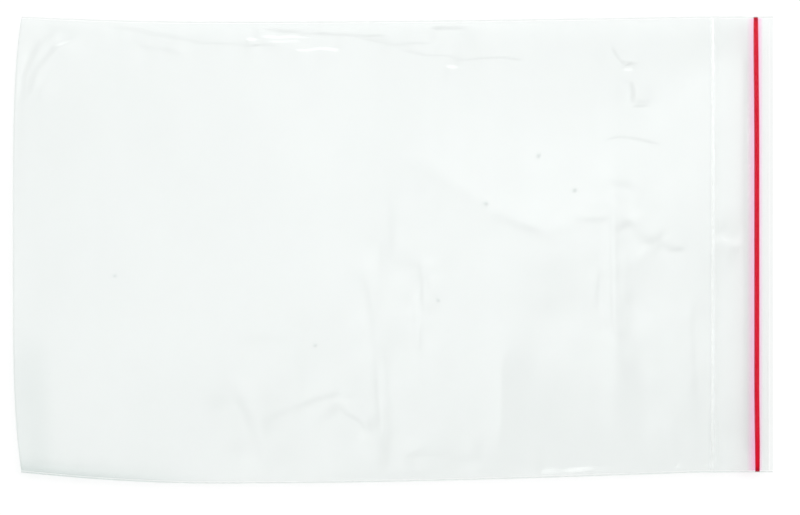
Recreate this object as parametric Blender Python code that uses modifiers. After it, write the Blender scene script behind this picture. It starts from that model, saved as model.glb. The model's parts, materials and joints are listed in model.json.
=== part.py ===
"""A resealable plastic bag lying flat: two walls of clear film, side welds, a red press zip and its lips.

The bag is laid out flat first: x runs from the bottom fold to the mouth, y across the bag, and both
walls stand off the seam plane by half_gap. place then lays it on the table as it was photographed,
with slightly bowed sides, and puts the middle of its box at the origin.
"""

import math

import bmesh
import bpy

# Whole bag, in metres: a stock 6 by 10 inch bag of heavy film
BAG_LENGTH = 0.254
BAG_WIDTH = 0.1524
FILM = 0.0001

# Air in the pouch: how far each wall stands off the seam plane, and the sloping rim round it
AIR_RISE = 0.0034
RIM_WIDTH = 0.014
SEAM_HALF_GAP = 0.00015
FOLD_RADIUS = 0.0005
WELD_RADIUS = 0.0003

# Places along the bag, measured from the mouth's edge
ZIP_FROM_MOUTH = 0.0055
FRONT_BEAD_FROM_MOUTH = 0.0204
BACK_BEAD_FROM_MOUTH = 0.0185
CREASE_FROM_MOUTH = 0.053
LIP_STAGGER = 0.0015
LIP_HALF_GAP = 0.0003
GORE_WIDTH = 0.020

# Zip profile: a rib with an arrow head, in a groove with two hooked jaws
ZIP_WIDTH = 0.0017
ZIP_WEB = 0.0002
JAW_WALL = 0.0004
JAW_HOOK = 0.00007
HOOK_HEIGHT = 0.00015
RIB_STEM = 0.00036
RIB_HEIGHT = 0.00095
RIB_HEAD_HEIGHT = 0.0004
RIB_BARB = 0.00015
RIB_TIP = 0.00024
CRUSHED_ZIP_WIDTH = 0.0021
BEAD_RADIUS = 0.00025

# Clearances between neighbours
SEAT_GAP = 0.0001
HINGE_GAP = 0.0003
SKIN_GAP = 0.00005
RIB_SIDE_GAP = 0.00008
RIB_TIP_GAP = 0.00015
JAW_END_GAP = 0.0002

# How the limp bag lies: the near side bows out, the far side dips in, the fold's corners draw in
NEAR_BOW = 0.0037
FAR_DIP = 0.0017
BOW_PEAK_FROM_FOLD = 0.0675
BOW_END_FROM_FOLD = 0.2296
CORNER_DRAW = 0.0029
CORNER_REACH = 0.040
CORNER_POWER = 4

# Facets
RIM_FACETS = 5
SPAN_FACETS = 6
LENGTH_FACETS = 10
MOUTH_FACETS = 3
FOLD_FACETS = 6
END_FACETS = 6
TUBE_RESOLUTION = 1

# Worked out from the sizes above
CREASE_X = BAG_LENGTH - CREASE_FROM_MOUTH
ZIP_X = BAG_LENGTH - ZIP_FROM_MOUTH
ZIP_INNER_X = ZIP_X - ZIP_WIDTH / 2
ZIP_OUTER_X = ZIP_X + ZIP_WIDTH / 2
LIP_HINGE_X = ZIP_OUTER_X + HINGE_GAP
FOLD_END_X = FILM / 2 + FOLD_RADIUS
FILM_START_X = FOLD_END_X + SEAT_GAP
WELD_Y = BAG_WIDTH / 2 - WELD_RADIUS
FILM_EDGE_Y = WELD_Y - WELD_RADIUS - SEAT_GAP
FLAP_EDGE_Y = BAG_WIDTH / 2 - GORE_WIDTH
GORE_EDGE_Y = FLAP_EDGE_Y + HINGE_GAP

ZIP_ROOM = RIB_HEIGHT + RIB_TIP_GAP
ZIP_HALF_GAP = ZIP_ROOM / 2 + ZIP_WEB + SKIN_GAP + FILM / 2
POUCH_HALF_GAP = SEAM_HALF_GAP + AIR_RISE
SEAM_Z = POUCH_HALF_GAP + FILM / 2
FRONT = 1
BACK = -1


def arc(t):
    """Rise from 0 to 1 along a quarter sine wave, steep first and level at the end."""
    return math.sin(math.pi / 2 * min(max(t, 0), 1))


def middle_half_gap(x):
    """Half the distance between the walls half way across the bag."""
    if x <= CREASE_X:
        return FOLD_RADIUS + (POUCH_HALF_GAP - FOLD_RADIUS) * arc((x - FOLD_END_X) / RIM_WIDTH)
    if x <= ZIP_OUTER_X:
        closing = min((x - CREASE_X) / (ZIP_INNER_X - CREASE_X), 1)
        return POUCH_HALF_GAP + (ZIP_HALF_GAP - POUCH_HALF_GAP) * closing
    return ZIP_HALF_GAP + (LIP_HALF_GAP - ZIP_HALF_GAP) * (x - ZIP_OUTER_X) / (BAG_LENGTH - ZIP_OUTER_X)


def half_gap(x, y):
    """Half the distance between the walls' middle surfaces, which close towards the side welds."""
    edge = arc((FILM_EDGE_Y - abs(y)) / RIM_WIDTH)
    return SEAM_HALF_GAP + (middle_half_gap(x) - SEAM_HALF_GAP) * edge


def bow(x):
    """How far the bag lies off its straight line, from 0 at the fold to 1 at the peak and 0 at the mouth."""
    if x < BOW_PEAK_FROM_FOLD:
        return arc(x / BOW_PEAK_FROM_FOLD)
    return arc((BOW_END_FROM_FOLD - x) / (BOW_END_FROM_FOLD - BOW_PEAK_FROM_FOLD))


def place(x, y, z):
    """Lay a point of the flat bag on the table."""
    across = 2 * y / BAG_WIDTH
    sideways = bow(x) * (FAR_DIP * (1 + across) + NEAR_BOW * (1 - across)) / 2
    drawn_in = CORNER_DRAW * abs(across) ** CORNER_POWER * max(1 - x / CORNER_REACH, 0) ** 2
    return (x + drawn_in - BAG_LENGTH / 2, y - sideways + NEAR_BOW / 2, z)


def steps(start, end, count):
    """Evenly spaced places from start to end, both included."""
    return [start + (end - start) * i / count for i in range(count + 1)]


def joined(*runs):
    """Runs of places that follow on from each other, with each shared end kept once."""
    places = list(runs[0])
    for run in runs[1:]:
        places += run[1:]
    return places


def across_bag(edge):
    """Places across the bag from one edge to the other, closer together on the sloping rims."""
    level = FILM_EDGE_Y - RIM_WIDTH
    if level >= edge:
        return steps(-edge, edge, SPAN_FACETS)
    rim = steps(level, edge, RIM_FACETS)
    return joined([-y for y in reversed(rim)], steps(-level, level, SPAN_FACETS), rim)


def material(name, colour, roughness, alpha=1.0):
    """A plain plastic."""
    made = bpy.data.materials.new(name)
    made.use_nodes = True
    shader = made.node_tree.nodes["Principled BSDF"]
    shader.inputs["Base Color"].default_value = (*colour, 1)
    shader.inputs["Roughness"].default_value = roughness
    shader.inputs["Metallic"].default_value = 0
    shader.inputs["Alpha"].default_value = alpha
    made.diffuse_color = (*colour, alpha)
    return made


def add(name, data, finish, parent=None):
    """Put an object with this data in the bag's collection, left where it is if it has a parent."""
    piece = bpy.data.objects.new(name, data)
    piece.data.materials.append(finish)
    bag.objects.link(piece)
    if parent is not None:
        piece.parent = parent
        piece.matrix_parent_inverse = parent.matrix_world.inverted()
    return piece


def hinge(name, x, z):
    """An empty on a joint's axis, which runs across the bag."""
    axis = bpy.data.objects.new(name, None)
    axis.location = place(x, 0, z)
    bag.objects.link(axis)
    bpy.context.view_layer.update()
    return axis


def sheet(name, xs, ys, surface, finish, parent=None):
    """Film of even thickness on an open grid, whose point at x and y is given by surface."""
    bm = bmesh.new()
    bmesh.ops.create_grid(bm, x_segments=len(xs) - 1, y_segments=len(ys) - 1, size=1)
    for vertex in bm.verts:
        column = round((vertex.co.x + 1) / 2 * (len(xs) - 1))
        row = round((vertex.co.y + 1) / 2 * (len(ys) - 1))
        vertex.co = surface(xs[column], ys[row])
    mesh = bpy.data.meshes.new(name)
    bm.to_mesh(mesh)
    bm.free()
    mesh.shade_smooth()
    piece = add(name, mesh, finish, parent)
    wall = piece.modifiers.new("film", "SOLIDIFY")
    wall.thickness = FILM
    wall.offset = 0
    wall.use_even_offset = True
    return piece


def wall_surface(side):
    """The middle surface of the front or back wall, as a function of x and y."""
    return lambda x, y: place(x, y, SEAM_Z + side * half_gap(x, y))


def fold_surface(angle, y):
    """The half-round bend at the closed end: angle runs from the back wall round to the front wall."""
    x = FOLD_END_X - FOLD_RADIUS * math.cos(angle)
    return place(x, y, SEAM_Z + half_gap(FOLD_END_X, y) * math.sin(angle))


def tube(name, points, radius, finish, parent=None):
    """A round bead along a line of points."""
    curve = bpy.data.curves.new(name, "CURVE")
    curve.dimensions = "3D"
    curve.bevel_depth = radius
    curve.bevel_resolution = TUBE_RESOLUTION
    curve.use_fill_caps = True
    spline = curve.splines.new("POLY")
    spline.points.add(len(points) - 1)
    for control, point in zip(spline.points, points):
        control.co = (*point, 1)
    return add(name, curve, finish, parent)


def grip_bead(name, x, ys, side, parent=None):
    """A bead that runs across the outside of a wall."""
    lift = FILM / 2 + SKIN_GAP + BEAD_RADIUS
    points = [place(x, y, SEAM_Z + side * (half_gap(x, y) + lift)) for y in ys]
    return tube(name, points, BEAD_RADIUS, clear_film, parent)


def extrusion(name, outline, half_length, finish, parent=None):
    """A zip profile, drawn in x and z about the closed zip's middle and drawn out across the bag."""
    curve = bpy.data.curves.new(name, "CURVE")
    curve.dimensions = "2D"
    curve.fill_mode = "BOTH"
    curve.extrude = half_length
    spline = curve.splines.new("POLY")
    spline.points.add(len(outline) - 1)
    spline.use_cyclic_u = True
    for control, (x, z) in zip(spline.points, outline):
        control.co = (x, z, 0, 1)
    piece = add(name, curve, finish)
    piece.rotation_euler = (math.pi / 2, 0, 0)
    piece.location = place(ZIP_X, 0, SEAM_Z)
    if parent is not None:
        bpy.context.view_layer.update()
        piece.parent = parent
        piece.matrix_parent_inverse = parent.matrix_world.inverted()
    return piece


def mirrored(right_half):
    """A closed outline from its right half, listed from bottom to top."""
    return right_half + [(-x, z) for x, z in reversed(right_half)]


def rib_outline():
    """The male profile: a web on the back wall, a stem and an arrow head."""
    web_half = ZIP_WIDTH / 2
    head_half = ZIP_WIDTH / 2 - JAW_WALL - JAW_HOOK - RIB_SIDE_GAP
    low = -ZIP_ROOM / 2
    tip = low + RIB_HEIGHT
    head = tip - RIB_HEAD_HEIGHT
    return mirrored([
        (web_half, low - ZIP_WEB),
        (web_half, low),
        (RIB_STEM / 2, low),
        (RIB_STEM / 2, head),
        (head_half, head),
        (head_half, head + RIB_BARB),
        (RIB_TIP / 2, tip),
    ])


def groove_outline():
    """The female profile: a web on the front wall with two jaws, hooked inwards at their ends."""
    web_half = ZIP_WIDTH / 2
    room_half = web_half - JAW_WALL
    hook_half = room_half - JAW_HOOK
    high = ZIP_ROOM / 2
    jaw_end = JAW_END_GAP - high
    top = high + ZIP_WEB
    inside = [
        (room_half, high),
        (room_half, jaw_end + HOOK_HEIGHT),
        (hook_half, jaw_end + HOOK_HEIGHT),
        (hook_half, jaw_end),
    ]
    return mirrored(inside + [(web_half, jaw_end), (web_half, top)])


def closed_zip_end(name, side):
    """The stretch of zip that never opens: it tapers from the full profile to a film crushed in the weld."""
    bm = bmesh.new()
    bmesh.ops.create_cube(bm, size=2)
    lengthways = [e for e in bm.edges if abs(e.verts[0].co.y - e.verts[1].co.y) > 1]
    bmesh.ops.subdivide_edges(bm, edges=lengthways, cuts=END_FACETS - 1, use_grid_fill=True)
    for vertex in bm.verts:
        crush = (vertex.co.y + 1) / 2
        y = GORE_EDGE_Y + (FILM_EDGE_Y - GORE_EDGE_Y) * crush
        half_width = (ZIP_WIDTH + (CRUSHED_ZIP_WIDTH - ZIP_WIDTH) * crush) / 2
        x = ZIP_X + side * vertex.co.x * half_width
        half_height = half_gap(ZIP_X, y) - FILM / 2 - SKIN_GAP
        vertex.co = place(x, side * y, SEAM_Z + vertex.co.z * half_height)
    mesh = bpy.data.meshes.new(name)
    bm.to_mesh(mesh)
    bm.free()
    return add(name, mesh, red_zip)


def add_pouch():
    """The two walls, the fold at the closed end and the side welds."""
    rim = steps(FILM_START_X, FOLD_END_X + RIM_WIDTH, RIM_FACETS)
    pouch = steps(FOLD_END_X + RIM_WIDTH, CREASE_X, LENGTH_FACETS)
    mouth = joined(steps(CREASE_X, ZIP_INNER_X, MOUTH_FACETS), [ZIP_INNER_X, ZIP_OUTER_X])
    ys = across_bag(FILM_EDGE_Y)
    front_pouch = pouch[:-1] + [CREASE_X - HINGE_GAP / 2]
    sheet("front_film", joined(rim, front_pouch), ys, wall_surface(FRONT), clear_film)
    sheet("back_film", joined(rim, pouch, mouth), ys, wall_surface(BACK), clear_film)
    bend = steps(-math.pi / 2, math.pi / 2, FOLD_FACETS)
    sheet("bottom_fold", bend, ys, fold_surface, clear_film)
    along = joined([FILM / 2, FILM_START_X], rim, pouch, mouth, [ZIP_OUTER_X, BAG_LENGTH])
    for name, side in (("side_weld_far", 1), ("side_weld_near", -1)):
        tube(name, [place(x, side * WELD_Y, SEAM_Z) for x in along], WELD_RADIUS, clear_film)


def add_mouth():
    """The part of the front wall that lifts about the crease, with its groove and grip bead."""
    axis = hinge("mouth_hinge", CREASE_X, SEAM_Z + POUCH_HALF_GAP)
    run = joined(steps(CREASE_X + HINGE_GAP / 2, ZIP_INNER_X, MOUTH_FACETS), [ZIP_INNER_X, ZIP_OUTER_X])
    ys = across_bag(FLAP_EDGE_Y)
    sheet("flap_film", run, ys, wall_surface(FRONT), clear_film, axis)
    extrusion("zip_groove", groove_outline(), FLAP_EDGE_Y, red_zip, axis)
    bead_x = BAG_LENGTH - FRONT_BEAD_FROM_MOUTH
    grip_bead("front_bead", bead_x, ys, FRONT, axis)
    gore_ys = steps(GORE_EDGE_Y, FILM_EDGE_Y, RIM_FACETS)
    for end, side in (("far", 1), ("near", -1)):
        ys = [side * y for y in gore_ys]
        sheet("gore_" + end, run, ys, wall_surface(FRONT), clear_film)
        grip_bead("gore_bead_" + end, bead_x, ys, FRONT)
        closed_zip_end("zip_closed_end_" + end, side)


def add_back_fittings():
    """The rib and the grip bead on the back wall."""
    extrusion("zip_rib", rib_outline(), FLAP_EDGE_Y, red_zip)
    grip_bead("back_bead", BAG_LENGTH - BACK_BEAD_FROM_MOUTH, across_bag(FILM_EDGE_Y), BACK)


def add_lips():
    """The two strips of film past the zip, each on a hinge line beside the zip."""
    ys = across_bag(FILM_EDGE_Y)
    start = LIP_HINGE_X + HINGE_GAP / 2
    for name, side, end in (("front_lip", FRONT, BAG_LENGTH - LIP_STAGGER), ("back_lip", BACK, BAG_LENGTH)):
        axis = hinge(name + "_hinge", LIP_HINGE_X, SEAM_Z + side * half_gap(LIP_HINGE_X, 0))
        sheet(name, [start, end], ys, wall_surface(side), clear_film, axis)


for leftover in list(bpy.data.objects):
    bpy.data.objects.remove(leftover)

bag = bpy.data.collections.new("resealable_bag")
bpy.context.scene.collection.children.link(bag)
clear_film = material("clear_film", (0.90, 0.94, 0.93), 0.12, alpha=0.3)
red_zip = material("red_zip", (0.62, 0.012, 0.033), 0.3)

add_pouch()
add_mouth()
add_back_fittings()
add_lips()
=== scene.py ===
"""The look of a resealable plastic bag: clear creased film, side welds, grip beads and a red zip.

The bag is laid out flat first: x runs from the bottom fold to the mouth and y across the bag, as in
the solids. place then lays it on the table. Creases are given where they lie on the table, in
millimetres from its middle.
"""

import json
import math

import bpy
import numpy as np
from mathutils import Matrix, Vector


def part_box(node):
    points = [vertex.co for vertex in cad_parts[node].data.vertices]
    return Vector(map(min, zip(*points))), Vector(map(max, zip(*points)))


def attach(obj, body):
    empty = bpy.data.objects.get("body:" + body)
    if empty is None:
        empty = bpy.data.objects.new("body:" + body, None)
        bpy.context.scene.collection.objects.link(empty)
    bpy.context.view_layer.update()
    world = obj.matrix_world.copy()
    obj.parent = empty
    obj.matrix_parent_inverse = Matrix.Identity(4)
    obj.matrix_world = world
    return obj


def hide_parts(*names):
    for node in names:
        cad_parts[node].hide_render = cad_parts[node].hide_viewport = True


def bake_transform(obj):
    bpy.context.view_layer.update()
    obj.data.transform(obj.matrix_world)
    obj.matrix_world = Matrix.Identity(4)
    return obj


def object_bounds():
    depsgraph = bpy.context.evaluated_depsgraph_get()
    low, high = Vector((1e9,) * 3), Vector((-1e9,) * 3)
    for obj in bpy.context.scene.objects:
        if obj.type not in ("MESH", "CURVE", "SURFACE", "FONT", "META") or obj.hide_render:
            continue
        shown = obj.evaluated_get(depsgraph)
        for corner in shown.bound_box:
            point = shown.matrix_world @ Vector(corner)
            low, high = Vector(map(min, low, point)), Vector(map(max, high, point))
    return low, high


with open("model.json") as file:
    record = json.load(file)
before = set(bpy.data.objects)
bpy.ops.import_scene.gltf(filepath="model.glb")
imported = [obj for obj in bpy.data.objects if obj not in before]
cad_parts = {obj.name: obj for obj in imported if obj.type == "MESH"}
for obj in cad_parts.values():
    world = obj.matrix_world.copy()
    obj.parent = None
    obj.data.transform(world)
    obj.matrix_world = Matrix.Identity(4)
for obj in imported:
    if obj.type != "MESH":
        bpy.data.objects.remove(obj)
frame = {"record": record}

CAD_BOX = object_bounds()
MM = 0.001

# Film, welds and how far the walls stand apart, as in the solids, in metres
FILM = 0.0001
SEAM_HALF_GAP = 0.00015
FOLD_RADIUS = 0.0005
WELD_RADIUS = 0.0003
BEAD_RADIUS = 0.00025
BEAD_SPREAD = 2.4
BEAD_RISE = 0.4
BEAD_FOOT = 0.8
BEAD_DEPTH = 0.4
RIM_WIDTH = 0.014
SEAT_GAP = 0.0001
SKIN_GAP = 0.00005
LIP_HALF_GAP = 0.0003

# How the limp bag lies, as in the solids
NEAR_BOW = 0.0037
FAR_DIP = 0.0017
BOW_PEAK_FROM_FOLD = 0.0675
BOW_END_FROM_FOLD = 0.2296
CORNER_DRAW = 0.0029
CORNER_REACH = 0.040
CORNER_POWER = 4

# Zip profile, as in the solids
ZIP_WEB = 0.0002
JAW_WALL = 0.0004
JAW_HOOK = 0.00007
HOOK_HEIGHT = 0.00015
RIB_STEM = 0.00036
RIB_HEIGHT = 0.00095
RIB_HEAD_HEIGHT = 0.0004
RIB_BARB = 0.00015
RIB_TIP = 0.00024
RIB_SIDE_GAP = 0.00008
RIB_TIP_GAP = 0.00015
JAW_END_GAP = 0.0002

# Worked out from the frame
LOW, HIGH = CAD_BOX
BAG_LENGTH = HIGH.x - LOW.x
BAG_WIDTH = 0.1524
JOINTS = {joint["name"]: joint for joint in frame["record"]["behaviour"]["joints"]}
CREASE_X = JOINTS["mouth_open"]["pos_m"][0] - LOW.x
LIP_HINGE_X = JOINTS["front_lip_peel"]["pos_m"][0] - LOW.x
ZIP_INNER_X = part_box("zip_groove")[0].x - LOW.x
ZIP_OUTER_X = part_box("zip_groove")[1].x - LOW.x
ZIP_X = (ZIP_INNER_X + ZIP_OUTER_X) / 2
ZIP_WIDTH = ZIP_OUTER_X - ZIP_INNER_X
FRONT_LIP_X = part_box("front_lip")[1].x - LOW.x
FRONT_BEAD_X = (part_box("front_bead")[0].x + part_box("front_bead")[1].x) / 2 - LOW.x
BACK_BEAD_X = (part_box("back_bead")[0].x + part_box("back_bead")[1].x) / 2 - LOW.x
SEAM_Z = HIGH.z / 2
POUCH_HALF_GAP = SEAM_Z - FILM / 2
ZIP_ROOM = RIB_HEIGHT + RIB_TIP_GAP
ZIP_HALF_GAP = ZIP_ROOM / 2 + ZIP_WEB + SKIN_GAP + FILM / 2
FOLD_END_X = FILM / 2 + FOLD_RADIUS
WELD_Y = BAG_WIDTH / 2 - WELD_RADIUS
FILM_EDGE_Y = WELD_Y - WELD_RADIUS - SEAT_GAP
MIDDLE_Y = NEAR_BOW / 2
FRONT = 1
BACK = -1

# How the film opens: distances from the middle line at which it starts and finishes lifting
FRONT_LIP_LIFT = (0.034, 0.014)

# The film is crowned more softly than the solids: widths over which it rises from its edges
CROWN_WIDTH = 0.055
CREASE_CROWN_WIDTH = 0.048
CROWN_CHANGE = 0.070

# How the film drops to the zip from the mouth's side, less so by the far weld
SHOULDER = 0.00045
SHOULDER_WIDTH = 0.0041
SHOULDER_FADE = 0.020

# Random swells: how their waves' lengths spread, and the usual peak of a sum of waves
WAVE_SPREAD = (0.7, 1.6)
WAVE_PEAK = 1.4

# Swell of the film: height, length of its waves and seed, for each kind of swell
FRONT_SWELLS = [(0.00020, 0.075, 3), (0.00005, 0.022, 4)]
BACK_SWELL = (0.00010, 0.055, 8)

# Margins at the welds and at the fold, and one at the zip, in which swell and creases die out
FRONT_MARGINS = (0.003, 0.004)
BACK_MARGINS = (0.006, 0.008)
ZIP_MARGIN = 0.006

# Spacing of the front wall's points, and the stretches along and across it with close creases
FINE_GRID = 0.00038
COARSE_GRID = 0.00085
FINE_COLUMNS = [
    (0.000, 0.012), (0.113, 0.126), (0.132, 0.138), (0.158, 0.164), (0.173, 0.177), (0.191, 0.202),
]
FINE_ROWS = [(-0.076, -0.045), (0.056, 0.076)]
SPECK_MARGIN = 0.001
SPECK_MARGIN_FAR = 0.005
BEND_STEPS = 10

# Edges sharper than this, in degrees, stay sharp
SHARP_ANGLE = 50

# Spacing of the other pieces' points
BACK_GRID = 0.0012
MOUTH_GRID = 0.00045
LIP_GRID = 0.0005
LIP_GRID_ACROSS = 0.0008
ZIP_GRID = 0.001
WELD_GRID = 0.0008

# Share of a weld's radius that is always there, and share that comes and goes in waves this long
WELD_EVEN = 0.82
WELD_UNEVEN = 0.18
WELD_WAVE = 0.009

# Share of light that the two faces of clear film mirror when they are met head on, how steeply it
# grows with the slant, and the share of that on the zip, where there is no air behind the film
HEAD_ON_GLOSS = 0.081
SLANT_POWER = 5.0
GLOSS_ON_ZIP = 0.10
ZIP_GLOSS_FADE = 0.0002

# How far the zip's far end leans towards the fold and its near end towards the mouth, and from where
FAR_LEAN = 0.00033
FAR_LEAN_START = 0.030
FAR_LEAN_LENGTH = 0.046
NEAR_LEAN = 0.00024
NEAR_LEAN_START = 0.045
NEAR_LEAN_LENGTH = 0.030

# The red profile's share of the zip's width, beside the painted red reflection, and how far it lies off
# the middle
RED_SHARE = 0.87
RED_SHIFT = 0.00006

# How far the painted red reflection of the zip reaches into the film on its inner and outer side
INNER_RED_REFLECTION = 0.0024
OUTER_RED_REFLECTION = 0.0012

# Where the welds crush the zip and darken it, from the middle line
CRUSH_START = 0.0735
CRUSH_END = 0.0758

# Painted shade on the film, which darkens it: how much, and how far that reaches. First along the
# near edge by the closed end, then in the low part of the closed end
DARK_EDGE_WIDTH = 0.0024
DARK_EDGE_END = 0.075
DARK_EDGE_FADE = 0.060
LOW_FOLD_SHARE = 0.24
LOW_FOLD_END = 0.016
LOW_FOLD_FADE = 0.010
LOW_FOLD_HEIGHT = 0.055
LOW_FOLD_HEIGHT_FADE = 0.030

# The same painted shade for the fold's line, the far edge, the bare back lip and the near weld, and the
# darkening of the specks
FOLD_LINE_SHARE = 0.18
FOLD_LINE_WIDTH = 0.0008
FAR_EDGE_SHARE = 0.18
FAR_EDGE_WIDTH = 0.0022
BACK_LIP_SHARE = 0.5
BACK_LIP_FADE = 0.0004
SPECK_SHARE = 0.62
NEAR_WELD_SHARE = 0.8

# Colours of light through the film: plain from dark to light, under painted shade or specks, and under
# the painted red reflection of the zip
FILM_TINTS = ((0.9435, 0.9590, 0.9531, 1), (0.9513, 0.9658, 0.9609, 1))
SHADE_AND_SPECK_TINT = (0.832, 0.868, 0.858, 1)
RED_REFLECTION_TINT = (0.995, 0.775, 0.900, 1)

# Colours of light through the beads and the welds; the near weld's is darker, as painted shade along
# the near edge
FRONT_BEAD_TINT = (0.996, 0.999, 0.998, 1)
BACK_BEAD_TINT = (0.998, 1.000, 0.999, 1)
FAR_WELD_TINT = (0.930, 0.945, 0.939, 1)
NEAR_WELD_TINT = (0.900, 0.918, 0.911, 1)

# Colours of the zip's plastic, from dark to light, and at its crushed ends
ZIP_REDS = ((0.545, 0.004, 0.019, 1), (0.625, 0.007, 0.030, 1))
CRUSHED_RED = (0.38, 0.005, 0.022, 1)

# The range that most of a noise's values lie in, the share of streaks in the film's mottling, and
# how rough the thick plastic is
NOISE_RANGE = (0.3, 0.7)
STREAK_SHARE = 0.6
BEAD_ROUGHNESS = 0.22

# Colours of the milky part of the film and of the thick plastic
FILM_MILK = (0.9, 0.93, 0.92, 1)
BEAD_MILK = (0.97, 0.98, 0.975, 1)
WHITE = (1, 1, 1, 1)

# The floor's own grey, and the light that makes it show as white
FLOOR_GREY = (0.40, 0.40, 0.40, 1)
FLOOR_GLOW = 0.580
FLOOR_REACH = 20.0
FLOOR_GAP = 0.0001

# The sky: how sharp the soft box's edge is, how fast that grows, its least, and the level low down
EDGE_SHARPNESS = 2.0
EDGE_GAIN = 14.0
LEAST_SHARPNESS = 1.2
LOW_SKY = 0.75

# The lamp: strength, width of its disc in degrees, and the direction it stands in
LAMP_STRENGTH = 1.5
LAMP_DISC = 36
LAMP_DIRECTION = (0.610, 0.354, 0.707)

# The camera: where it looks, how wide the picture is there, and how far above it stands
VIEW_MIDDLE = (0.0024, -0.0025)
VIEW_WIDTH = 0.2672
VIEW_DISTANCE = 0.8
SENSOR_WIDTH = 36

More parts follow.
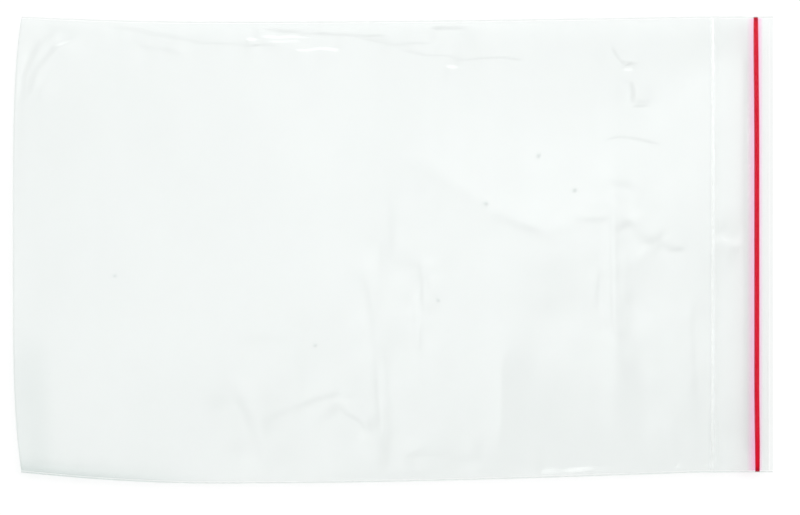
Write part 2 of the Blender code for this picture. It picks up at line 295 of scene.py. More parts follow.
# Creases in the front wall: points, then height and width, all in millimetres. The film steps up to
# the left of a line as it is followed, or down where the height is negative.
CREASES = [
    # Along the far edge
    (
        [
            (-97.0, 75.0), (-90.0, 74.6), (-78.0, 71.8), (-71.0, 70.8), (-64.5, 69.3), (-51.0, 68.4),
            (-36.0, 68.3),
        ],
        0.34, 0.60,
    ),
    ([(-88.0, 68.5), (-78.0, 67.0), (-67.0, 64.5)], 0.34, 0.80),
    (
        [
            (-56.0, 75.9), (-46.0, 74.2), (-40.2, 73.9), (-35.2, 72.6), (-27.7, 72.2), (-11.0, 71.7),
            (0.0, 71.3),
        ],
        0.35, 0.60,
    ),
    (
        [(-12.0, 70.7), (-8.5, 70.0), (-2.6, 69.2), (2.4, 68.7), (7.4, 68.9), (16.0, 68.5)],
        0.33, 0.60,
    ),
    (
        [
            (1.0, 66.3), (12.4, 65.3), (15.8, 65.0), (19.1, 64.2), (22.4, 63.7), (27.4, 63.9),
            (46.0, 63.8),
        ],
        0.32, 0.60,
    ),
    ([(9.5, 75.0), (18.5, 74.6), (28.5, 75.2)], 1.05, 1.20),
    ([(-45.0, 71.5), (-36.0, 71.0), (-24.5, 71.5)], -0.36, 0.45),
    ([(-43.5, 69.5), (-35.5, 69.5), (-28.0, 70.0)], -0.30, 0.45),
    ([(-34.5, 66.8), (-25.0, 66.9), (-16.0, 67.2)], -0.44, 0.45),
    ([(17.0, 61.0), (22.5, 61.0)], -0.45, 0.45),
    ([(-49.5, 70.5), (-44.5, 70.5)], -0.44, 0.45),
    # In the far corner of the closed end
    ([(-124.5, 46.0), (-123.0, 59.0), (-118.0, 69.0), (-109.0, 75.0)], -0.62, 0.90),
    ([(-122.5, 50.0), (-119.0, 60.0), (-113.0, 67.5), (-104.5, 72.0)], -0.60, 0.70),
    ([(-120.5, 47.0), (-115.0, 58.0), (-108.0, 65.5)], -0.14, 0.70),
    # Where the mouth bends away
    ([(72.0, 70.0), (74.5, 65.5), (77.0, 62.5), (84.5, 61.0)], 0.46, 0.70),
    ([(75.5, 60.0), (81.5, 60.0)], -0.32, 0.50),
    ([(79.5, 58.0), (80.0, 53.0), (80.5, 48.0)], 0.62, 0.80),
    ([(78.0, 48.0), (87.0, 48.0)], 0.16, 0.50),
    ([(68.5, 36.0), (75.0, 37.5), (81.0, 37.0), (86.0, 36.0), (90.0, 34.5)], 0.15, 0.60),
    ([(58.0, 10.5), (66.0, 10.0), (74.5, 10.5)], 0.09, 0.50),
    ([(70.0, 23.5), (75.0, 22.0), (81.0, 20.5)], 0.05, 0.70),
    ([(79.0, 25.5), (80.0, 18.5), (81.0, 12.0)], 0.22, 0.70),
    ([(77.0, 11.5), (81.5, 6.5), (83.5, 3.5), (86.0, 0.5)], 0.40, 1.20),
    ([(88.5, 3.5), (92.0, 1.0), (98.5, -0.5)], 0.14, 0.80),
    ([(72.0, 16.5), (72.5, -3.5), (73.0, -30.0)], 0.22, 0.50),
    ([(68.0, -6.5), (68.0, -20.5)], -0.15, 0.50),
    ([(74.5, 6.5), (75.0, -16.5), (76.5, -40.0), (79.0, -68.5)], -0.14, 0.70),
    ([(77.5, 2.0), (78.0, -20.0), (79.5, -45.0), (82.0, -72.0)], -0.55, 2.40),
    ([(94.0, -55.0), (94.5, -75.5)], -0.26, 0.60),
    ([(99.5, -16.5), (100.5, -50.0), (101.5, -74.0)], -0.22, 1.00),
    ([(106.5, 5.5), (116.5, 1.0)], -0.31, 0.80),
    # In the pouch
    ([(32.5, 12.5), (38.5, 9.5), (42.5, 8.0), (51.0, 4.5)], 0.22, 0.80),
    ([(-0.5, 20.0), (-0.5, 8.5), (0.0, -6.0)], 0.14, 0.70),
    ([(-4.0, 5.5), (-4.0, -6.5)], 0.15, 0.70),
    ([(8.0, -2.0), (9.5, -11.5), (10.5, -22.5)], 0.36, 0.60),
    ([(12.0, -7.5), (12.0, -16.5)], 0.18, 0.50),
    ([(-11.0, -4.0), (-7.5, -20.0), (-6.5, -38.5)], 0.34, 1.00),
    ([(1.5, 22.0), (-1.0, 4.0), (-4.5, -20.0), (-5.0, -36.0)], 0.50, 2.40),
    ([(-7.0, -33.5), (-5.5, -45.0), (-3.5, -63.5), (-3.0, -77.0)], -0.17, 1.00),
    ([(-2.5, -33.5), (-1.5, -50.0), (-1.5, -73.5)], -0.06, 0.50),
    ([(-4.5, -33.5), (-4.0, -50.0), (-3.5, -63.5)], 0.10, 0.50),
    ([(7.0, -13.5), (7.5, -36.0)], 0.12, 0.60),
    ([(9.0, -23.5), (9.5, -34.0)], -0.15, 0.60),
    ([(-45.5, -58.0), (-36.0, -54.0), (-30.0, -51.5)], 0.06, 0.70),
    ([(-34.0, -53.0), (-30.0, -51.5), (-23.5, -49.0), (-18.5, -48.0), (-11.5, -50.0)], 0.20, 0.80),
    ([(-20.5, -50.0), (-15.0, -54.5), (-11.5, -57.5), (-6.5, -61.5)], 0.42, 0.60),
    ([(-55.5, -42.5), (-50.0, -51.5), (-47.5, -57.0), (-45.5, -63.5), (-43.5, -75.5)], 0.62, 1.30),
    ([(3.0, -69.0), (11.0, -67.5), (16.5, -68.0), (21.0, -69.0), (30.0, -70.5)], 0.34, 0.60),
    ([(37.0, -31.5), (37.0, -57.0), (36.0, -77.0)], -0.06, 0.70),
    ([(35.0, -35.0), (35.0, -62.0)], 0.05, 0.50),
    ([(49.0, -61.0), (49.5, -77.0)], -0.26, 0.60),
    ([(-53.5, -29.5), (-41.0, -29.0), (-31.5, -30.5)], 0.10, 0.70),
    ([(34.0, -13.0), (56.0, -12.0), (80.0, -11.0)], 0.70, 15.0),
    ([(56.0, -75.0), (68.0, -72.5)], -0.42, 0.60),
    ([(92.0, -74.0), (96.5, -72.0)], -0.38, 0.60),
    ([(102.5, -73.0), (108.0, -71.5)], -0.38, 0.60),
]

# Small gel specks in the front wall, and how high and wide they are
SPECKS = [(48.5, 31.5), (60.5, 20.0), (31.0, 15.5), (15.0, -16.5), (-26.0, -31.5), (-92.5, -8.5)]
SPECK_HEIGHT = 0.00018
SPECK_WIDTH = 0.00053

# Wide soft folds in the front wall, in the same way, with the distance in which they level out
FOLDS = [
    ([(-10.0, 33.0), (12.0, 28.0), (33.0, 13.0), (50.0, 6.0), (72.0, 13.0)], 0.60, 14.0),
    ([(37.5, 6.0), (37.0, -31.0), (36.0, -80.0)], 0.45, 11.0),
]

# How creases and folds fade out at their ends, in widths and in metres, and how softly they bend
CREASE_FADE = 8
FOLD_FADE = 0.022
BEND_SOFTNESS = 0.0007

# Distance in which a crease levels out to its sides, in millimetres: a share, and one more per width
CREASE_REACH = 4
CREASE_REACH_PER_WIDTH = 3

# How far creases wander off their lines, and how strong they are, each with the length of its waves
CREASE_WANDER = 0.0003
WANDER_WAVE = 0.010
CREASE_STRENGTH = 0.94
CREASE_UNEVENNESS = 0.15
STRENGTH_WAVE = 0.014


def smooth(t):
    """Rise from 0 to 1, level at both ends."""
    t = np.clip(t, 0, 1)
    return t * t * (3 - 2 * t)


def arc(t):
    """Rise from 0 to 1 along a quarter sine wave, steep first and level at the end."""
    return np.sin(np.pi / 2 * np.clip(t, 0, 1))


def middle_half_gap(x):
    """Half the distance between the walls half way across the bag."""
    pouch = FOLD_RADIUS + (POUCH_HALF_GAP - FOLD_RADIUS) * arc((x - FOLD_END_X) / CROWN_WIDTH)
    closing = np.clip((x - CREASE_X) / (ZIP_INNER_X - CREASE_X), 0, 1)
    mouth = POUCH_HALF_GAP + (ZIP_HALF_GAP - POUCH_HALF_GAP) * closing
    past_zip = (x - ZIP_OUTER_X) / (BAG_LENGTH - ZIP_OUTER_X)
    lip = ZIP_HALF_GAP + (LIP_HALF_GAP - ZIP_HALF_GAP) * past_zip
    return np.where(x <= CREASE_X, pouch, np.where(x <= ZIP_OUTER_X, mouth, lip))


def shoulder(x, y):
    """How far the walls stand off more than that before they drop to the zip."""
    closing = np.clip((x - CREASE_X) / (ZIP_INNER_X - CREASE_X), 0, 1)
    drop = smooth((x - ZIP_INNER_X) / SHOULDER_WIDTH + 1)
    return SHOULDER * (closing - drop) * smooth((FILM_EDGE_Y - y) / SHOULDER_FADE)


def crown_width(x):
    """The distance over which the walls close towards the side welds."""
    to_crease = smooth((x - CREASE_X) / CROWN_CHANGE + 1)
    to_zip = smooth((x - CREASE_X) / (ZIP_INNER_X - CREASE_X))
    pouch = CROWN_WIDTH + (CREASE_CROWN_WIDTH - CROWN_WIDTH) * to_crease
    return pouch + (RIM_WIDTH - CREASE_CROWN_WIDTH) * to_zip


def half_gap(x, y):
    """Half the distance between the walls' middle surfaces, which close towards the side welds."""
    inwards = FILM_EDGE_Y - np.abs(y)
    rise = middle_half_gap(x) + shoulder(x, y) - SEAM_HALF_GAP
    return SEAM_HALF_GAP + rise * arc(inwards / crown_width(x))


def bow(x):
    """How far the bag lies off its straight line: 0 at the fold, 1 at the peak, 0 at the mouth."""
    rise = arc(x / BOW_PEAK_FROM_FOLD)
    fall = arc((BOW_END_FROM_FOLD - x) / (BOW_END_FROM_FOLD - BOW_PEAK_FROM_FOLD))
    return np.where(x < BOW_PEAK_FROM_FOLD, rise, fall)


def place(x, y, z):
    """Lay points of the flat bag on the table."""
    across = 2 * y / BAG_WIDTH
    sideways = bow(x) * (FAR_DIP * (1 + across) + NEAR_BOW * (1 - across)) / 2
    by_the_fold = np.maximum(1 - x / CORNER_REACH, 0) ** 2
    drawn_in = CORNER_DRAW * np.abs(across) ** CORNER_POWER * by_the_fold
    return x + drawn_in + LOW.x, y - sideways + MIDDLE_Y, z


def waves(x, y, size, seed, count=7):
    """A gentle random swell between about -1 and 1, as a sum of waves about size long."""
    draw = np.random.default_rng(seed)
    total = np.zeros_like(x)
    for _ in range(count):
        angle = draw.uniform(0, math.pi)
        length = size * draw.uniform(*WAVE_SPREAD)
        phase = draw.uniform(0, 2 * math.pi)
        total += np.sin(2 * math.pi * (x * math.cos(angle) + y * math.sin(angle)) / length + phase)
    return total / math.sqrt(count) / WAVE_PEAK


def from_line(x, y, points, fade):
    """Distance from a line of points, positive to its left, and a share that fades at both its ends."""
    line = [Vector(point) * MM for point in points]
    found = []
    length = 0.0
    for a, b in zip(line, line[1:]):
        step = b - a
        t = np.clip(((x - a.x) * step.x + (y - a.y) * step.y) / step.length_squared, 0, 1)
        off_x = x - a.x - t * step.x
        off_y = y - a.y - t * step.y
        signed = np.copysign(np.hypot(off_x, off_y), step.x * off_y - step.y * off_x)
        found.append((signed, length + t * step.length))
        length += step.length
    nearest = np.min([np.abs(signed) for signed, _ in found], axis=0)
    weights = [np.exp((nearest - np.abs(signed)) / BEND_SOFTNESS) for signed, _ in found]
    along = sum(weight * at for weight, (_, at) in zip(weights, found)) / sum(weights)
    side = np.sign(sum(weight * signed for weight, (signed, _) in zip(weights, found)))
    fade = min(fade, length / 3)
    return side * nearest, smooth(along / fade) * smooth((length - along) / fade)


def creased(x, y):
    """How far the front wall's creases and folds lift it."""
    lift = np.zeros_like(x)
    wander = CREASE_WANDER * waves(x, y, WANDER_WAVE, seed=21)
    strength = CREASE_STRENGTH + CREASE_UNEVENNESS * waves(x, y, STRENGTH_WAVE, seed=22)
    for points, height, width in CREASES:
        off, fade = from_line(x + wander, y + wander, points, CREASE_FADE * width * MM)
        reach = (CREASE_REACH + CREASE_REACH_PER_WIDTH * width) * MM
        step = height * MM * fade * strength * np.tanh(off / (width * MM)) / 2
        lift += step * np.exp(-((off / reach) ** 2))
    for speck_x, speck_y in SPECKS:
        off = np.hypot(x - speck_x * MM, y - speck_y * MM)
        lift += SPECK_HEIGHT * np.exp(-((off / SPECK_WIDTH) ** 2))
    for points, height, reach in FOLDS:
        off, fade = from_line(x, y, points, FOLD_FADE)
        lift += height * MM * fade * np.exp(-np.hypot(off, MM) / (reach * MM))
    return lift


def room(x, y, margins):
    """One inside the bag, and falling to 0 at the welds, the fold and the zip."""
    at_weld, at_fold = margins
    share = smooth((FILM_EDGE_Y - np.abs(y)) / at_weld) * smooth((x - FOLD_END_X) / at_fold)
    return share * smooth((ZIP_INNER_X - x) / ZIP_MARGIN)


def front_surface(x, y):
    """The front wall's middle surface: the crowned wall with its swell and creases."""
    table_x, table_y, _ = place(x, y, 0)
    swell = sum(height * waves(table_x, table_y, size, seed) for height, size, seed in FRONT_SWELLS)
    lift = room(x, y, FRONT_MARGINS) * (swell + creased(table_x, table_y))
    return place(x, y, SEAM_Z + half_gap(x, y) + lift)


def back_surface(x, y):
    """The back wall's middle surface: flat on the table inside its rims, with a slight swell."""
    table_x, table_y, _ = place(x, y, 0)
    height, size, seed = BACK_SWELL
    swell = height * (1 + waves(table_x, table_y, size, seed))
    lift = room(x, y, BACK_MARGINS) * np.maximum(swell, 0)
    return place(x, y, SEAM_Z - half_gap(x, y) + lift)


def folded_front_surface(u, y):
    """The front wall with the half-round bend at the closed end, where u is below FOLD_END_X."""
    angle = np.pi / 2 * np.clip((u - FOLD_END_X) / FOLD_END_X * 2 + 1, -1, 1)
    bend_x = FOLD_END_X - FOLD_RADIUS * np.cos(angle)
    bend = place(bend_x, y, SEAM_Z + half_gap(np.full_like(u, FOLD_END_X), y) * np.sin(angle))
    wall = front_surface(np.maximum(u, FOLD_END_X), y)
    return [np.where(u < FOLD_END_X, b, w) for b, w in zip(bend, wall)]


def steps(start, end, size):
    """Places from start to end, both included, about size apart."""
    return np.linspace(start, end, max(2, round(abs(end - start) / size) + 1))


def runs(*ends, size):
    """Places through a list of fixed ends, about size apart."""
    parts = [steps(a, b, size)[1:] for a, b in zip(ends, ends[1:])]
    return np.concatenate([[ends[0]], *parts])


def graded(start, end, fine):
    """Places from start to end, close together in the fine stretches and wider apart elsewhere."""
    edges = sorted({start, end, *(edge for pair in fine for edge in pair if start < edge < end)})
    places = [[start]]
    for a, b in zip(edges, edges[1:]):
        close = any(low < (a + b) / 2 < high for low, high in fine)
        places.append(steps(a, b, FINE_GRID if close else COARSE_GRID)[1:])
    return np.concatenate(places)


def by_the_corner(x):
    """One at the near corner of the closed end, fading along the near edge."""
    return smooth((DARK_EDGE_END - x) / DARK_EDGE_FADE)


def painted_shade_and_specks(x, y):
    """How much painted shade the film gets, with the specks' darkening, from 0 to 1: most by the near
    corner, and in specks and the lip.
    """
    table_x, table_y, _ = place(x, y, 0)
    near = FILM_EDGE_Y + y
    far = FILM_EDGE_Y - y
    # Painted shade: along the near edge, in the low part of the closed end, on the fold's line, at the
    # far edge and on the bare back lip
    corner = np.exp(-near / DARK_EDGE_WIDTH) * by_the_corner(x)
    low = smooth((LOW_FOLD_HEIGHT - near) / LOW_FOLD_HEIGHT_FADE)
    low_fold = LOW_FOLD_SHARE * smooth((LOW_FOLD_END - x) / LOW_FOLD_FADE) * low
    fold = FOLD_LINE_SHARE * np.exp(-((x / FOLD_LINE_WIDTH) ** 2))
    far_edge = FAR_EDGE_SHARE * np.exp(-far / FAR_EDGE_WIDTH)
    lip = BACK_LIP_SHARE * smooth((x - FRONT_LIP_X) / BACK_LIP_FADE)
    total = corner + low_fold + fold + far_edge + lip
    for speck_x, speck_y in SPECKS:
        off = np.hypot(table_x - speck_x * MM, table_y - speck_y * MM)
        total = total + SPECK_SHARE * np.exp(-((off / SPECK_WIDTH) ** 2))
    return np.clip(total, 0, 1)


def mark_painted_shade_and_specks(mesh, values):
    """Store the painted shade and the specks' darkening at each point of a mesh, for its finish."""
    shade_and_specks = mesh.attributes.new("painted_shade_and_specks", "FLOAT", "POINT")
    shade_and_specks.data.foreach_set("value", values.astype(np.float32))


def link(name, mesh, finish):
    """Put a mesh in the scene as a smooth piece with this finish."""
    mesh.shade_smooth()
    mesh.set_sharp_from_angle(angle=math.radians(SHARP_ANGLE))
    mesh.materials.clear()
    mesh.materials.append(finish)
    piece = bpy.data.objects.new(name, mesh)
    bpy.context.scene.collection.objects.link(piece)
    return piece


def film(name, xs, ys, surface, finish, keep=None):
    """A sheet of film on a grid, whose middle surface at x and y is given by surface."""
    grid_x, grid_y = np.meshgrid(xs, ys, indexing="ij")
    points = np.stack(np.broadcast_arrays(*surface(grid_x, grid_y)), axis=-1).reshape(-1, 3)
    rows = len(ys)
    faces = []
    for i in range(len(xs) - 1):
        for j in range(rows - 1):
            if keep is None or keep((xs[i] + xs[i + 1]) / 2, (ys[j] + ys[j + 1]) / 2):
                corner = i * rows + j
                faces.append((corner, corner + rows, corner + rows + 1, corner + 1))
    used = sorted({index for face in faces for index in face})
    number = {index: place_in_list for place_in_list, index in enumerate(used)}
    mesh = bpy.data.meshes.new(name)
    mesh.from_pydata(points[used].tolist(), [], [[number[i] for i in face] for face in faces])
    mesh.update()
    # Painted shade and the specks' darkening at each point, for the finish
    mark_painted_shade_and_specks(mesh, painted_shade_and_specks(grid_x, grid_y).reshape(-1)[used])
    return link(name, mesh, finish)


def sweep(name, sections, finish):
    """A closed solid through a list of sections, each a ring of points."""
    ring = len(sections[0])
    points = [point for section in sections for point in section]
    faces = []
    for i in range(len(sections) - 1):
        for j in range(ring):
            k = (j + 1) % ring
            faces.append((i * ring + j, i * ring + k, (i + 1) * ring + k, (i + 1) * ring + j))
    faces.append(tuple(reversed(range(ring))))
    faces.append(tuple(range((len(sections) - 1) * ring, len(sections) * ring)))
    mesh = bpy.data.meshes.new(name)
    mesh.from_pydata([tuple(map(float, point)) for point in points], [], faces)
    mesh.update()
    return link(name, mesh, finish)


def mirrored(right_half):
    """A closed outline from its right half, listed from bottom to top."""
    return right_half + [(-x, z) for x, z in reversed(right_half)]


def rib_outline():
    """The male profile: a web on the back wall, a stem and an arrow head."""
    web_half = ZIP_WIDTH / 2
    head_half = ZIP_WIDTH / 2 - JAW_WALL - JAW_HOOK - RIB_SIDE_GAP
    low = -ZIP_ROOM / 2
    tip = low + RIB_HEIGHT
    head = tip - RIB_HEAD_HEIGHT
    return mirrored([
        (web_half, low - ZIP_WEB),
        (web_half, low),
        (RIB_STEM / 2, low),
        (RIB_STEM / 2, head),
        (head_half, head),
        (head_half, head + RIB_BARB),
        (RIB_TIP / 2, tip),
    ])


def groove_outline():
    """The female profile: a web on the front wall with two jaws, hooked inwards at their ends."""
    web_half = ZIP_WIDTH / 2
    room_half = web_half - JAW_WALL
    hook_half = room_half - JAW_HOOK
    high = ZIP_ROOM / 2
    jaw_end = JAW_END_GAP - high
    top = high + ZIP_WEB
    inside = [
        (room_half, high),
        (room_half, jaw_end + HOOK_HEIGHT),
        (hook_half, jaw_end + HOOK_HEIGHT),
        (hook_half, jaw_end),
    ]
    return mirrored(inside + [(web_half, jaw_end), (web_half, top)])


def zip_sections(outline, ys):
    """Sections of a zip profile across the bag, crushed flat where the side welds close it."""
    full = ZIP_HALF_GAP - FILM / 2 - SKIN_GAP
    sections = []
    for y in ys:
        height = (half_gap(np.array(ZIP_X), np.array(y)) - FILM / 2 - SKIN_GAP) / full
        near_lean = NEAR_LEAN * smooth((-y - NEAR_LEAN_START) / NEAR_LEAN_LENGTH)
        far_lean = FAR_LEAN * smooth((y - FAR_LEAN_START) / FAR_LEAN_LENGTH)
        middle = ZIP_X + RED_SHIFT + (near_lean - far_lean)
        sections.append([place(middle + RED_SHARE * x, y, SEAM_Z + z * height) for x, z in outline])
    return sections


def bead_sections(x, ys, side, sides=12):
    """Sections of a bead on the outside of a wall: a low ridge, level with the film at its edges."""
    surface = front_surface if side == FRONT else back_surface
    half_width = BEAD_SPREAD * BEAD_RADIUS
    height = BEAD_RISE * BEAD_RADIUS
    ridge = []
    for t in np.linspace(1, -1, sides):
        ridge.append((half_width * t, height * (1 + math.cos(math.pi * t)) / 2))
    foot_half = half_width * BEAD_FOOT
    depth = -BEAD_DEPTH * SKIN_GAP
    outline = ridge + [(-foot_half, depth), (foot_half, depth)]
    sections = []
    for y in ys:
        foot = np.array(surface(np.array(x), np.array(y)), float)
        foot[2] += side * SKIN_GAP
        sections.append([foot + np.array([across, 0, side * up]) for across, up in outline])
    return sections


def weld_sections(side, sides=8):
    """Sections of a hot-cut weld: a melted bead of uneven thickness along the bag's side."""
    xs = steps(FILM / 2, BAG_LENGTH - FILM / 2, WELD_GRID)
    uneven = waves(xs, np.full_like(xs, side), WELD_WAVE, seed=11 + side, count=6) / 2
    sections = []
    for x, swell in zip(xs, uneven):
        radius = WELD_RADIUS * (WELD_EVEN + WELD_UNEVEN * float(np.clip(swell, -1, 1)))
        middle = np.array(place(np.array(x), np.array(side * WELD_Y), SEAM_Z), float)
        section = []
        for i in range(sides):
            angle = 2 * math.pi * i / sides
            section.append(middle + radius * np.array([0, math.cos(angle), math.sin(angle)]))
        sections.append(section)
    return sections


def node(tree, kind, inputs=(), **settings):
    """Add a shader node, with its settings and the values or links of its inputs."""
    made = tree.nodes.new(kind)
    for name, value in settings.items():
        setattr(made, name, value)
    for name, value in dict(inputs).items():
        if isinstance(value, bpy.types.NodeSocket):
            tree.links.new(value, made.inputs[name])
        else:
            made.inputs[name].default_value = value
    return made


def new_material(name):
    """An empty node material, its tree and its output node."""
    made = bpy.data.materials.new(name)
    made.use_nodes = True
    made.node_tree.nodes.clear()
    return made, made.node_tree, node(made.node_tree, "ShaderNodeOutputMaterial")


def calc(tree, operation, *values):
    """The result of a maths node."""
    return node(tree, "ShaderNodeMath", enumerate(values), operation=operation).outputs[0]


def ramp(tree, value, start, end, low=0.0, high=1.0, kind="LINEAR"):
    """A value that goes from low to high while another goes from start to end."""
    inputs = {"Value": value, "From Min": start, "From Max": end, "To Min": low, "To Max": high}
    return node(tree, "ShaderNodeMapRange", inputs, interpolation_type=kind).outputs[0]


def soft_ramp(tree, value, start, end, low=0.0, high=1.0):
    """The same, level at both ends."""
    return ramp(tree, value, start, end, low, high, "SMOOTHSTEP")


def mix(tree, factor, a, b):
    """A value between two others."""
    return node(tree, "ShaderNodeMix", {"Factor": factor, "A": a, "B": b}, data_type="FLOAT").outputs[0]


def mix_colours(tree, factor, a, b):
    """A colour between two others, which are the node's inputs 6 and 7."""
    return node(tree, "ShaderNodeMix", {"Factor": factor, 6: a, 7: b}, data_type="RGBA").outputs[2]


def mix_shaders(tree, factor, a, b):
    """A shader between two others."""
    return node(tree, "ShaderNodeMixShader", {0: factor, 1: a, 2: b}).outputs[0]


def noise(tree, where, scale, detail, roughness=0.5):
    """Cloudy noise."""
    inputs = {"Vector": where, "Scale": scale, "Detail": detail, "Roughness": roughness}
    return node(tree, "ShaderNodeTexNoise", inputs).outputs[0]


def drawn_noise(tree, where, scales, detail):
    """Noise with a scale of its own along each axis."""
    drawn = node(tree, "ShaderNodeMapping", {"Vector": where, "Scale": scales})
    return noise(tree, drawn.outputs[0], 1.0, detail)


def two_tones(tree, factor, tones):
    """A colour from the first tone to the second, over the middle range of a noise."""
    made = node(tree, "ShaderNodeValToRGB", {"Fac": factor})
    for element, place_on_ramp, tone in zip(made.color_ramp.elements, NOISE_RANGE, tones):
        element.position = place_on_ramp
        element.color = tone
    return made.outputs[0]


def bumped(tree, height, strength, distance):
    """The surface's direction with fine relief."""
    inputs = {"Height": height, "Strength": strength, "Distance": distance}
    return node(tree, "ShaderNodeBump", inputs).outputs[0]


def shade_and_speck_colour(tree, colour):
    """The colour of light through film or a weld, darker under painted shade and in specks."""
    shade_share = node(tree, "ShaderNodeAttribute", attribute_name="painted_shade_and_specks", attribute_type="GEOMETRY")
    return mix_colours(tree, shade_share.outputs["Fac"], colour, SHADE_AND_SPECK_TINT)


def glossy(tree, roughness, direction):
    """A colourless gloss."""
    inputs = {"Color": WHITE, "Roughness": roughness, "Normal": direction}
    return node(tree, "ShaderNodeBsdfAnisotropic", inputs).outputs[0]


def see_through(tree, colour):
    """Clear material that tints what lies behind it."""
    return node(tree, "ShaderNodeBsdfTransparent", {"Color": colour}).outputs[0]


def film_material():
    """Clear soft film with a cool tint, an uneven gloss, faint die lines, painted shade and a painted
    red reflection of the zip.
    """
    made, tree, output = new_material("clear_film")
    where = node(tree, "ShaderNodeTexCoord").outputs["Object"]
    along = node(tree, "ShaderNodeSeparateXYZ", {"Vector": where}).outputs["X"]
    clouds = noise(tree, where, scale=38.0, detail=4.0, roughness=0.6)
    die_lines = drawn_noise(tree, where, scales=(900, 25, 900), detail=3.0)
    direction = bumped(tree, die_lines, strength=0.12, distance=0.0001)

    # Mirrored share
    slant = node(tree, "ShaderNodeLayerWeight", {"Blend": 0.5, "Normal": direction}).outputs["Facing"]
    grazing = calc(tree, "POWER", slant, SLANT_POWER)
    mirror = calc(tree, "MULTIPLY_ADD", grazing, 1 - HEAD_ON_GLOSS, HEAD_ON_GLOSS)
    from_zip = calc(tree, "ABSOLUTE", calc(tree, "SUBTRACT", along, LOW.x + ZIP_X))
    loose = ramp(tree, from_zip, ZIP_WIDTH / 2, ZIP_WIDTH / 2 + ZIP_GLOSS_FADE, low=GLOSS_ON_ZIP)
    shine = calc(tree, "MULTIPLY", mirror, loose)

    # Colour of the light that comes through, with painted shade, specks and the painted red reflection
    # of the zip
    streaks = drawn_noise(tree, where, scales=(260, 7, 260), detail=2.0)
    mottled = mix(tree, STREAK_SHARE, clouds, streaks)
    plain = two_tones(tree, mottled, FILM_TINTS)
    inner_edge = LOW.x + ZIP_INNER_X
    outer_edge = LOW.x + ZIP_OUTER_X
    inner = ramp(tree, along, inner_edge - INNER_RED_REFLECTION, inner_edge)
    outer = ramp(tree, along, outer_edge, outer_edge + OUTER_RED_REFLECTION, low=1.0, high=0.0)
    red_reflection = calc(tree, "MULTIPLY", inner, outer)
    colour = mix_colours(tree, red_reflection, shade_and_speck_colour(tree, plain), RED_REFLECTION_TINT)

    # A little milkiness, and a gloss on top
    haze = ramp(tree, clouds, *NOISE_RANGE, low=0.008, high=0.024)
    milk = calc(tree, "MULTIPLY", haze, loose)
    cloudy = node(tree, "ShaderNodeBsdfDiffuse", {"Color": FILM_MILK}).outputs[0]
    body = mix_shaders(tree, milk, see_through(tree, colour), cloudy)
    roughness = ramp(tree, clouds, *NOISE_RANGE, low=0.07, high=0.14)
    whole = mix_shaders(tree, shine, body, glossy(tree, roughness, direction))
    tree.links.new(whole, output.inputs["Surface"])
    return made


def bead_material(name, cloudiness, shine, tint):
    """Thick plastic of the beads and welds, slightly milky and rippled, with painted shade where a weld
    is marked for it, which casts a clear shadow.
    """
    made, tree, output = new_material(name)
    where = node(tree, "ShaderNodeTexCoord").outputs["Object"]
    ripples = noise(tree, where, scale=700.0, detail=2.0)
    direction = bumped(tree, ripples, strength=0.2, distance=0.0001)
    milk = ramp(tree, ripples, *NOISE_RANGE, low=0.6 * cloudiness, high=1.4 * cloudiness)
    cloudy = node(tree, "ShaderNodeBsdfDiffuse", {"Color": BEAD_MILK, "Normal": direction}).outputs[0]
    body = mix_shaders(tree, milk, see_through(tree, shade_and_speck_colour(tree, tint)), cloudy)
    solid = mix_shaders(tree, shine, body, glossy(tree, BEAD_ROUGHNESS, direction))
    light = node(tree, "ShaderNodeLightPath")
    whole = mix_shaders(tree, light.outputs["Is Shadow Ray"], solid, see_through(tree, tint))
    tree.links.new(whole, output.inputs["Surface"])
    return made


def zip_material():
    """Red extruded plastic, streaked along the zip and darker where the welds crush its ends."""
    made, tree, output = new_material("red_zip")
    where = node(tree, "ShaderNodeTexCoord").outputs["Object"]
    streaks = drawn_noise(tree, where, scales=(2600, 60, 2600), detail=3.0)
    across = node(tree, "ShaderNodeSeparateXYZ", {"Vector": where}).outputs["Y"]
    from_middle = calc(tree, "ABSOLUTE", calc(tree, "SUBTRACT", across, MIDDLE_Y))
    crushed = soft_ramp(tree, from_middle, CRUSH_START, CRUSH_END)
    plastic = node(
        tree, "ShaderNodeBsdfPrincipled",
        {
            "Base Color": mix_colours(tree, crushed, two_tones(tree, streaks, ZIP_REDS), CRUSHED_RED),
            "Roughness": ramp(tree, streaks, *NOISE_RANGE, low=0.24, high=0.40),
            "Normal": bumped(tree, streaks, strength=0.25, distance=0.00005),
            "Specular IOR Level": 0.1,
        },
    )
    tree.links.new(plastic.outputs[0], output.inputs["Surface"])
    return made


def floor_material():
    """A white table that keeps the bag's shadow and shows as white around it."""
    made, tree, output = new_material("white_floor")
    light = node(tree, "ShaderNodeLightPath")
    direct = calc(tree, "MAXIMUM", light.outputs["Is Camera Ray"], light.outputs["Is Glossy Ray"])
    shown = calc(tree, "MAXIMUM", direct, light.outputs["Is Transmission Ray"])
    strength = calc(tree, "MULTIPLY", shown, FLOOR_GLOW)
    matt = node(tree, "ShaderNodeBsdfDiffuse", {"Color": FLOOR_GREY})
    glow = node(tree, "ShaderNodeEmission", {"Color": WHITE, "Strength": strength})
    both = node(tree, "ShaderNodeAddShader", {0: matt.outputs[0], 1: glow.outputs[0]})
    tree.links.new(both.outputs[0], output.inputs["Surface"])
    return made


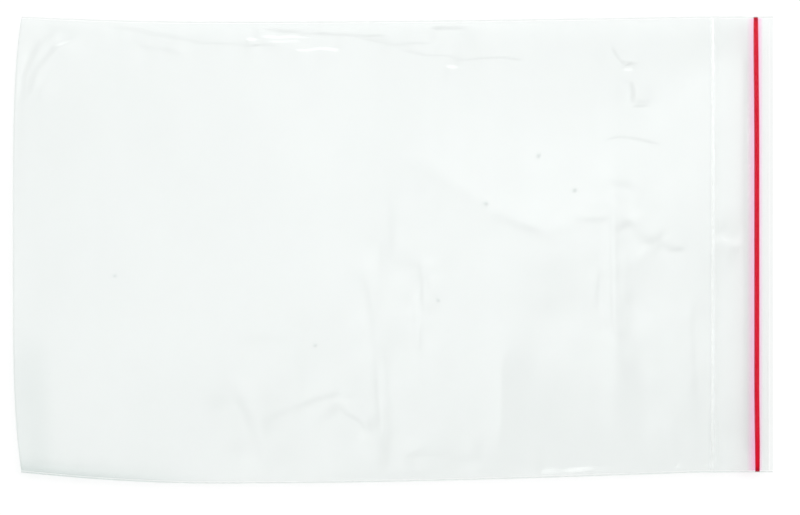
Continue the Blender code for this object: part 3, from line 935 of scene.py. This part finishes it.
def add_walls():
    """The front wall with the bottom fold, and the back wall, which the back lips belong to."""
    speck_columns = []
    speck_rows = []
    for x, y in SPECKS:
        speck_columns.append((x * MM - LOW.x - SPECK_MARGIN, x * MM - LOW.x + SPECK_MARGIN))
        speck_rows.append((y * MM - SPECK_MARGIN, y * MM + SPECK_MARGIN_FAR))
    ys = graded(-FILM_EDGE_Y, FILM_EDGE_Y, FINE_ROWS + speck_rows)
    bend = steps(0, FOLD_END_X, FOLD_END_X / BEND_STEPS)
    wall = graded(FOLD_END_X, CREASE_X, FINE_COLUMNS + speck_columns)
    xs = np.concatenate([bend, wall[1:]])
    front = film("front_wall", xs, ys, folded_front_surface, clear_film)
    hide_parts("front_film", "bottom_fold")
    xs = runs(FOLD_END_X, CREASE_X, ZIP_INNER_X, LIP_HINGE_X, size=BACK_GRID)
    ys = runs(-FILM_EDGE_Y, FILM_EDGE_Y, size=BACK_GRID)
    back = film("back_wall", xs, ys, back_surface, clear_film)
    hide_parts("back_film")
    for piece in (front, back):
        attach(piece, "bag")


def add_mouth(end, side):
    """Half of the front wall past the crease, without the part by the middle that the front lip covers.
    """
    lift_end = FRONT_LIP_LIFT[0]
    ys = np.sort(side * runs(0, lift_end, FILM_EDGE_Y, size=MOUTH_GRID))
    xs = runs(CREASE_X, ZIP_INNER_X, LIP_HINGE_X, FRONT_LIP_X, size=MOUTH_GRID)
    piece = film(
        "mouth_film_" + end, xs, ys, front_surface, clear_film,
        keep=lambda x, y: x < LIP_HINGE_X or abs(y) > lift_end,
    )
    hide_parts("flap_film", "gore_" + end)
    opens(piece)


def opens(piece):
    """Bake a piece's placement into its mesh."""
    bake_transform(piece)


def add_lips(end, side):
    """Half of each lip past the zip."""
    xs = runs(LIP_HINGE_X, FRONT_LIP_X, size=LIP_GRID)
    ys = np.sort(side * runs(0, FRONT_LIP_LIFT[0], size=LIP_GRID_ACROSS))
    front = film("front_lip_film_" + end, xs, ys, front_surface, clear_film)
    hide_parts("front_lip")
    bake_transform(front)
    xs = runs(LIP_HINGE_X, BAG_LENGTH, size=LIP_GRID)
    ys = np.sort(side * runs(0, FILM_EDGE_Y, size=LIP_GRID_ACROSS))
    back = film("back_lip_film_" + end, xs, ys, back_surface, clear_film)
    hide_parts("back_lip")
    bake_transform(back)
    return front, back


def add_zip():
    """The red zip: a rib across the back wall, and a groove in two halves."""
    ys = runs(-WELD_Y, -FILM_EDGE_Y, FILM_EDGE_Y, WELD_Y, size=ZIP_GRID)
    rib = sweep("zip_rib_strip", zip_sections(rib_outline(), ys), red_zip)
    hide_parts("zip_rib", "zip_closed_end_far", "zip_closed_end_near")
    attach(rib, "bag")
    for end, side in (("far", 1), ("near", -1)):
        ys = np.sort(side * runs(0, FILM_EDGE_Y, size=ZIP_GRID))
        groove = sweep("zip_groove_" + end, zip_sections(groove_outline(), ys), red_zip)
        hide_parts("zip_groove")
        opens(groove)


def add_beads():
    """The grip beads across both walls, and the welds along both sides."""
    ys = runs(-FILM_EDGE_Y, FILM_EDGE_Y, size=ZIP_GRID)
    back = sweep("back_bead_line", bead_sections(BACK_BEAD_X, ys, BACK), back_bead)
    back.visible_shadow = False
    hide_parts("back_bead")
    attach(back, "bag")
    for end, side, weld_finish in (("far", 1, far_weld), ("near", -1, near_weld)):
        ys = np.sort(side * runs(0, FILM_EDGE_Y, size=ZIP_GRID))
        bead = sweep("front_bead_" + end, bead_sections(FRONT_BEAD_X, ys, FRONT), front_bead)
        bead.visible_shadow = False
        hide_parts("front_bead", "gore_bead_" + end)
        opens(bead)
        weld = sweep("side_weld_bead_" + end, weld_sections(side), weld_finish)
        if end == "near":
            # Painted shade on the near weld by the closed end
            along = np.array([vertex.co.x for vertex in weld.data.vertices]) - LOW.x
            mark_painted_shade_and_specks(weld.data, NEAR_WELD_SHARE * by_the_corner(along))
        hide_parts("side_weld_" + end)
        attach(weld, "bag")


def add_floor():
    """A wide white table just under the bag."""
    mesh = bpy.data.meshes.new("floor")
    turns = [(-1, -1), (1, -1), (1, 1), (-1, 1)]
    corners = [(FLOOR_REACH * x, FLOOR_REACH * y, 0) for x, y in turns]
    mesh.from_pydata(corners, [], [(0, 1, 2, 3)])
    mesh.materials.append(floor_material())
    floor = bpy.data.objects.new("floor", mesh)
    floor.location.z = LOW.z - FLOOR_GAP
    bpy.context.scene.collection.objects.link(floor)


def add_sky():
    """A broad soft sky, brighter on the far side, which the camera sees as plain white."""
    world = bpy.data.worlds.new("studio")
    world.use_nodes = True
    tree = world.node_tree
    tree.nodes.clear()
    output = node(tree, "ShaderNodeOutputWorld")
    direction = node(tree, "ShaderNodeTexCoord").outputs["Generated"]
    axes = node(tree, "ShaderNodeSeparateXYZ", {"Vector": direction}).outputs

    # A soft box on the far side, whose edge is sharper towards the mouth
    sharpness = calc(tree, "MULTIPLY_ADD", axes["X"], EDGE_GAIN, EDGE_SHARPNESS)
    edge = calc(tree, "MULTIPLY", axes["Y"], calc(tree, "MAXIMUM", sharpness, LEAST_SHARPNESS))
    box = soft_ramp(tree, edge, -0.90, 0.40, low=0.20, high=1.68)

    # Flags that take light off it past the fold and past the mouth, and a bright strip far behind
    past_fold = soft_ramp(tree, axes["X"], -0.55, 0.12, low=0.40, high=1.02)
    far_half = soft_ramp(tree, axes["Y"], -0.10, 0.10, low=0.5)
    fold_flag = mix(tree, far_half, 1.0, past_fold)
    mouth_flag = soft_ramp(tree, axes["X"], 0.05, 0.50, low=1.0, high=0.50)
    flags = calc(tree, "MULTIPLY", fold_flag, mouth_flag)
    strip = soft_ramp(tree, axes["Y"], 0.50, 0.72, high=1.3)
    screened = calc(tree, "MULTIPLY_ADD", box, flags, strip)

    # An even level low down, and white to the camera
    height = soft_ramp(tree, axes["Z"], 0.15, 0.75)
    level = mix(tree, height, LOW_SKY, screened)
    light = node(tree, "ShaderNodeLightPath")
    seen = calc(tree, "MAXIMUM", light.outputs["Is Camera Ray"], light.outputs["Is Transmission Ray"])
    shown = mix(tree, seen, level, 1.0)
    sky = node(tree, "ShaderNodeBackground", {"Color": WHITE, "Strength": shown})
    tree.links.new(sky.outputs[0], output.inputs["Surface"])
    bpy.context.scene.world = world


def add_lamp():
    """One soft lamp from the mouth's side."""
    data = bpy.data.lights.new("soft_lamp", "SUN")
    data.energy = LAMP_STRENGTH
    data.angle = math.radians(LAMP_DISC)
    lamp = bpy.data.objects.new("soft_lamp", data)
    lamp.rotation_euler = Vector(LAMP_DIRECTION).to_track_quat("Z", "Y").to_euler()
    bpy.context.scene.collection.objects.link(lamp)


def add_camera():
    """A long lens straight above the bag, with the mouth to the right, framed as in the photograph."""
    data = bpy.data.cameras.new("camera")
    data.sensor_width = SENSOR_WIDTH
    data.lens = SENSOR_WIDTH * VIEW_DISTANCE / VIEW_WIDTH
    camera = bpy.data.objects.new("camera", data)
    camera.location = (*VIEW_MIDDLE, SEAM_Z + VIEW_DISTANCE)
    bpy.context.scene.collection.objects.link(camera)
    bpy.context.scene.camera = camera


clear_film = film_material()
front_bead = bead_material("clear_bead", cloudiness=0.10, shine=0.03, tint=FRONT_BEAD_TINT)
back_bead = bead_material("shaded_bead", cloudiness=0.01, shine=0.012, tint=BACK_BEAD_TINT)
far_weld = bead_material("far_weld", cloudiness=0.02, shine=0.05, tint=FAR_WELD_TINT)
near_weld = bead_material("near_weld", cloudiness=0.02, shine=0.04, tint=NEAR_WELD_TINT)
red_zip = zip_material()

for end, side in (("far", 1), ("near", -1)):
    front_lip, back_lip = add_lips(end, side)
    add_mouth(end, side)
add_walls()
add_zip()
add_beads()
add_floor()
add_sky()
add_lamp()
add_camera()
bpy.context.scene.view_settings.view_transform = "Standard"
